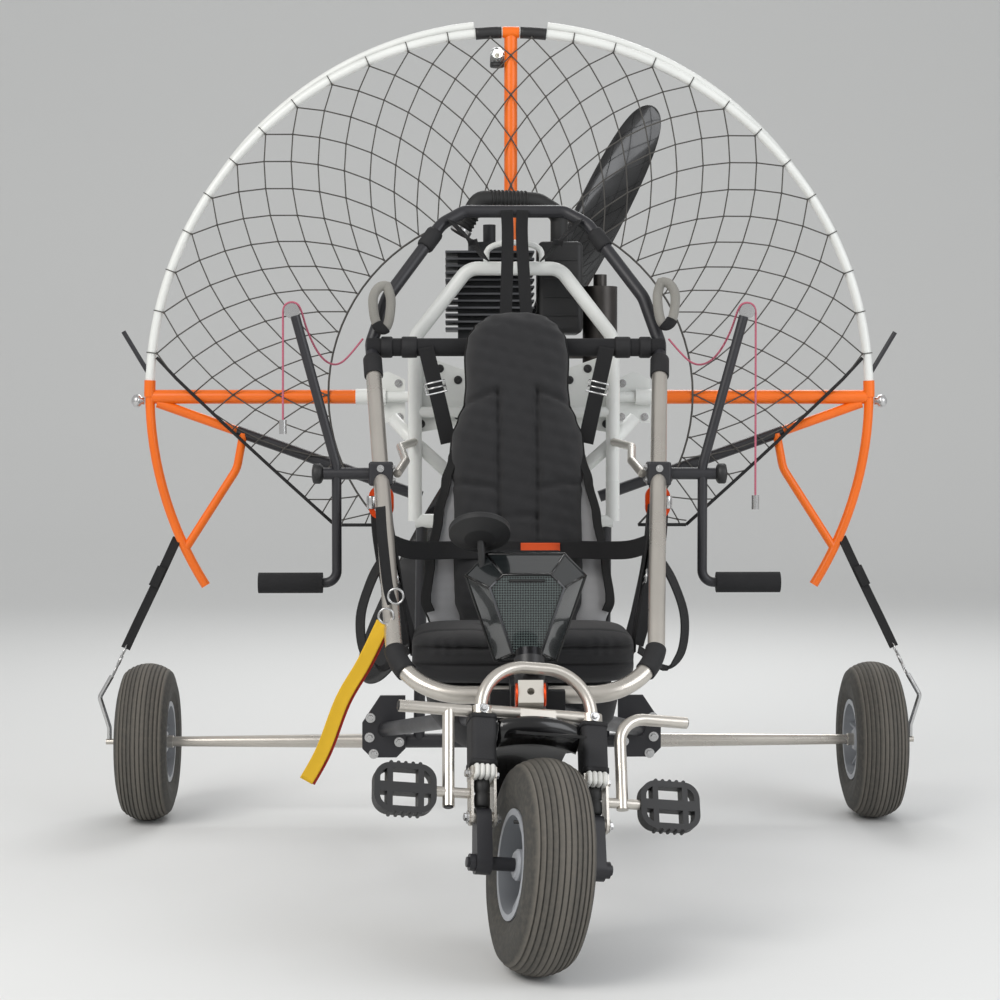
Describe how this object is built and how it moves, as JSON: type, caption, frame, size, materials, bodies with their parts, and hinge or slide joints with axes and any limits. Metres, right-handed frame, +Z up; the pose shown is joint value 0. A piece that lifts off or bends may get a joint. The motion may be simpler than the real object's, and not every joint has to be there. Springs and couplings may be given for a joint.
{
  "type": "paramotor trike",
  "caption": "Light wheeled paramotor trike with a netted propeller cage, raked steered front wheel, tubular seat frame, padded seat, engine and propeller",
  "frame": {"origin": "middle of the footprint on the ground", "axes": "+Z up, front towards -Y, +X to the right when seen from the front"},
  "size_m": [1.7456, 1.6372, 1.6898],
  "materials": {
    "tyre": "matt rubber",
    "rim": "moulded grey",
    "dark_steel": "dark",
    "silver": "satin anodised",
    "steel": "satin",
    "black_metal": "powder coat",
    "gloss_black": "gloss",
    "black_plastic": "matt",
    "black_rubber": "matt",
    "black_foam": "foam",
    "black_cloth": "woven",
    "white_paint": "powder coat",
    "orange_paint": "powder coat",
    "clear_plastic": "clear",
    "net_string": "twisted string",
    "engine_metal": "dark cast",
    "tank_plastic": "moulded",
    "orange_anodised": "anodised",
    "seat_cloth": "woven",
    "webbing": "webbing",
    "carbon": "carbon weave",
    "yellow_webbing": "ribbon",
    "pink_cord": "braided"
  },
  "bodies": {
    "chassis": {"air_box": "black_plastic", "axle_beam": "black_metal", "axle_hooks": "steel", "brake_cord_left": "pink_cord", "brake_cord_right": "pink_cord", "cage_guard_hoops": "white_paint", "cage_hoop": "white_paint", "cage_legs": "orange_paint", "cage_net": "net_string", "cage_spars": "orange_paint", "cage_struts": "orange_paint", "carabiners": "orange_anodised", "cord_snaps": "steel", "cross_bar": "black_foam", "drive_plate": "engine_metal", "engine": "engine_metal", "engine_frame": "white_paint", "exhaust": "dark_steel", "frame_gussets": "white_paint", "front_pod": "carbon", "fuel_tank": "tank_plastic", "hang_arms": "steel", "hang_blocks": "black_metal", "intake_hose": "black_rubber", "keel_rails": "black_metal", "lever_arms": "black_metal", "lever_grips": "black_foam", "lever_pulleys": "steel", "line_horns": "black_metal", "mirror": "black_plastic", "pull_strap": "yellow_webbing", "rear_axles": "silver", "ring_frame": "silver", "roll_bar": "black_metal", "seat_back": "seat_cloth", "seat_bag": "seat_cloth", "seat_cushion": "seat_cloth", "seat_straps": "webbing", "side_plates": "black_metal", "stay_straps": "webbing", "steering_head": "silver", "strobe_lamp": "clear_plastic", "strut_tubes": "black_metal"},
    "steering": {"fork_crown": "silver", "fork_arch": "silver", "fork_sleeves": "black_cloth", "fork_links": "silver", "fork_arms": "black_metal", "front_axle": "black_metal", "mudguard": "gloss_black", "foot_bars": "silver", "pedals": "black_plastic"},
    "front_wheel": {"front_tyre": "tyre", "front_rim": "rim", "brake_disc": "dark_steel"},
    "rear_wheel_left": {"rear_tyre_left": "tyre", "rear_rim_left": "rim"},
    "rear_wheel_right": {"rear_tyre_right": "tyre", "rear_rim_right": "rim"},
    "propeller": {"propeller": "gloss_black"}
  },
  "joints": [
    {"name": "steer", "type": "hinge", "parent": "chassis", "child": "steering", "pos_m": [0, -0.4793, 0.41282], "axis": [0, 0.4695, 0.8829], "range_deg": [-43, 17]},
    {"name": "front_wheel_spin", "type": "hinge", "parent": "steering", "child": "front_wheel", "pos_m": [0.009, -0.65549, 0.16447], "axis": [0.9744, 0.1986, -0.1056], "continuous": true},
    {"name": "rear_left_spin", "type": "hinge", "parent": "chassis", "child": "rear_wheel_left", "pos_m": [-0.767, 0.5836, 0.165], "axis": [1, 0, 0], "continuous": true},
    {"name": "rear_right_spin", "type": "hinge", "parent": "chassis", "child": "rear_wheel_right", "pos_m": [0.767, 0.5836, 0.165], "axis": [1, 0, 0], "continuous": true},
    {"name": "propeller_spin", "type": "hinge", "parent": "chassis", "child": "propeller", "pos_m": [0, 0.7736, 0.897], "axis": [0, 1, 0], "continuous": true}
  ]
}
